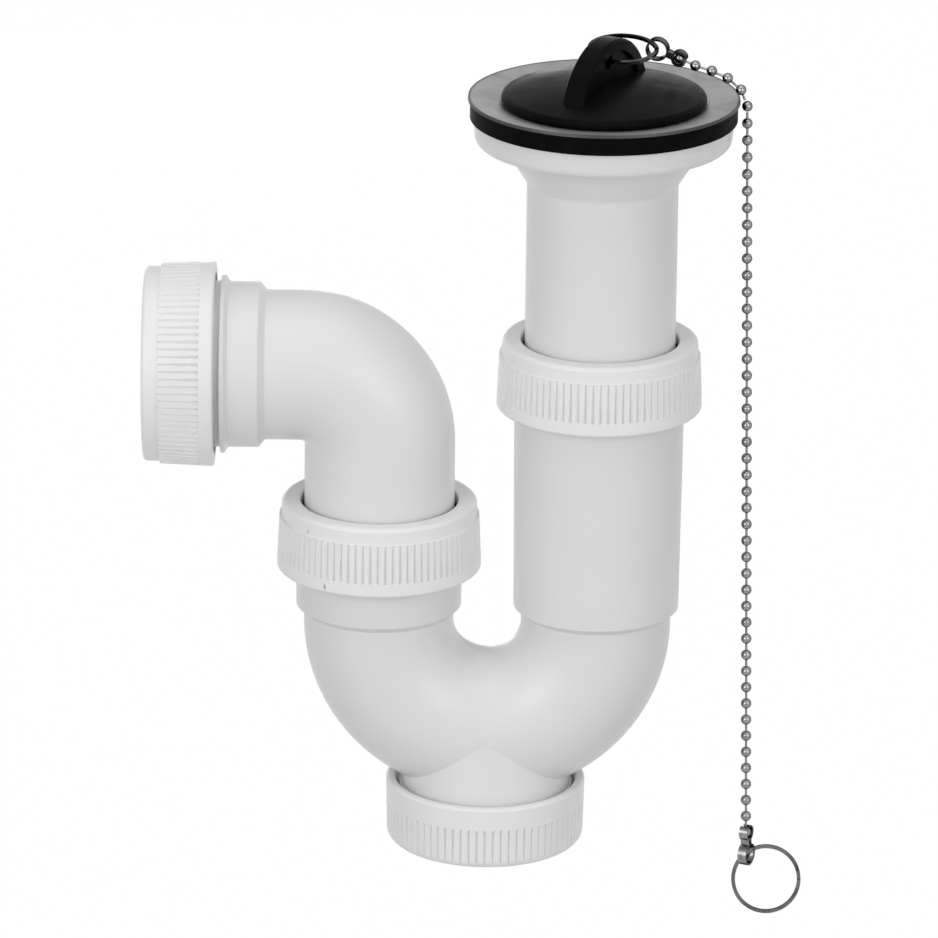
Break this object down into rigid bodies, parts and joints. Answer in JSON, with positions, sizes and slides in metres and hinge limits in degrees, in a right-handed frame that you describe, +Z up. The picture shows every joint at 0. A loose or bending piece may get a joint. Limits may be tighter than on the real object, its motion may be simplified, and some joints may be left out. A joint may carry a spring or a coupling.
{
  "type": "tubular sink trap with waste",
  "caption": "White plastic tubular U-bend sink trap with a swivelling outlet elbow, cleanout cap, steel-rimmed waste, and a plug on a ball chain.",
  "frame": {"origin": "on the waste's axis, at the level of the steel rim's outer underside, where it meets the sink", "axes": "+Z up along the waste's axis, -X from the waste to the outlet leg and along the elbow's pipe socket"},
  "size_m": [0.1754, 0.0708, 0.2426],
  "materials": {
    "steel": "satin pressed stainless sheet",
    "black_rubber": "smooth black rubber",
    "white_plastic": "satin white polypropylene",
    "black_plastic": "glossy black moulding",
    "nickel": "nickel plated",
    "brass": "turned brass"
  },
  "bodies": {
    "waste": {"steel_flange": "steel", "flange_gasket": "black_rubber", "waste_body": "white_plastic", "brass_insert": "brass", "centre_screw": "steel", "plug": "black_plastic", "plug_ring": "nickel", "upper_clip": "nickel", "draped_beads": "nickel", "draped_links": "nickel"},
    "chain_knuckle": {"rim_bead": "nickel"},
    "hanging_chain": {"hanging_beads": "nickel", "hanging_links": "nickel", "lower_clip": "nickel"},
    "end_ring": {"lower_ring": "nickel"},
    "inlet_seal": {"inlet_seal": "black_rubber"},
    "trap": {"trap_body": "white_plastic", "union_seal": "black_rubber"},
    "inlet_slip_ring": {"inlet_slip_ring": "black_plastic"},
    "inlet_nut": {"inlet_nut": "white_plastic"},
    "union_slip_ring": {"union_slip_ring": "black_plastic"},
    "union_nut": {"union_nut": "white_plastic"},
    "elbow": {"elbow": "white_plastic", "pipe_seal": "black_rubber"},
    "pipe_slip_ring": {"pipe_slip_ring": "black_plastic"},
    "pipe_nut": {"pipe_nut": "white_plastic"},
    "cleanout_washer": {"cleanout_washer": "black_rubber"},
    "cleanout_cap": {"cleanout_cap": "white_plastic"}
  },
  "joints": [
    {"name": "chain_swing_out", "type": "hinge", "parent": "waste", "child": "chain_knuckle", "pos_m": [0.03715, 0, -0.0014], "axis": [0, -1, 0], "range_deg": [0, 75]},
    {"name": "chain_swing_side", "type": "hinge", "parent": "chain_knuckle", "child": "hanging_chain", "pos_m": [0.03715, 0, -0.0014], "axis": [1, 0, 0], "range_deg": [-60, 60]},
    {"name": "end_ring_swing", "type": "hinge", "parent": "hanging_chain", "child": "end_ring", "pos_m": [0.04137, 0, -0.20996], "axis": [0.8892, -0.4572, 0.018], "range_deg": [-90, 45]},
    {"name": "trap_height", "type": "slide", "parent": "waste", "child": "inlet_seal", "axis": [0, 0, 1], "range_m": [-0.03, 0.02]},
    {"name": "trap_swivel", "type": "hinge", "parent": "inlet_seal", "child": "trap", "pos_m": [0, 0, -0.0722], "axis": [0, 0, 1], "range_deg": [-90, 90]},
    {"name": "elbow_swivel", "type": "hinge", "parent": "trap", "child": "elbow", "pos_m": [-0.0575, 0, -0.1172], "axis": [0, 0, 1], "range_deg": [-100, 100]},
    {"name": "inlet_nut_travel", "type": "slide", "parent": "trap", "child": "inlet_slip_ring", "axis": [0, 0, 1], "range_m": [0, 0.01059]},
    {"name": "inlet_nut_turn", "type": "hinge", "parent": "inlet_slip_ring", "child": "inlet_nut", "pos_m": [0, 0, -0.0722], "axis": [0, 0, 1], "range_deg": [0, 1620]},
    {"name": "union_nut_travel", "type": "slide", "parent": "trap", "child": "union_slip_ring", "axis": [0, 0, 1], "range_m": [0, 0.01059]},
    {"name": "union_nut_turn", "type": "hinge", "parent": "union_slip_ring", "child": "union_nut", "pos_m": [-0.0575, 0, -0.1172], "axis": [0, 0, 1], "range_deg": [0, 1620]},
    {"name": "pipe_nut_travel", "type": "slide", "parent": "elbow", "child": "pipe_slip_ring", "axis": [-1, 0, 0], "range_m": [0, 0.01059]},
    {"name": "pipe_nut_turn", "type": "hinge", "parent": "pipe_slip_ring", "child": "pipe_nut", "pos_m": [-0.1122, 0, -0.0732], "axis": [-1, 0, 0], "range_deg": [0, 1620]},
    {"name": "cleanout_cap_travel", "type": "slide", "parent": "trap", "child": "cleanout_washer", "axis": [0, 0, -1], "range_m": [0, 0.01059]},
    {"name": "cleanout_cap_turn", "type": "hinge", "parent": "cleanout_washer", "child": "cleanout_cap", "pos_m": [-0.02875, 0, -0.2004], "axis": [0, 0, -1], "range_deg": [0, 1620]}
  ],
  "couplings": [
    {"joint": "inlet_nut_travel", "follows": "inlet_nut_turn", "m_per_rad": 0.00036749},
    {"joint": "union_nut_travel", "follows": "union_nut_turn", "m_per_rad": 0.00036749},
    {"joint": "pipe_nut_travel", "follows": "pipe_nut_turn", "m_per_rad": 0.00036749},
    {"joint": "cleanout_cap_travel", "follows": "cleanout_cap_turn", "m_per_rad": 0.00036749}
  ]
}
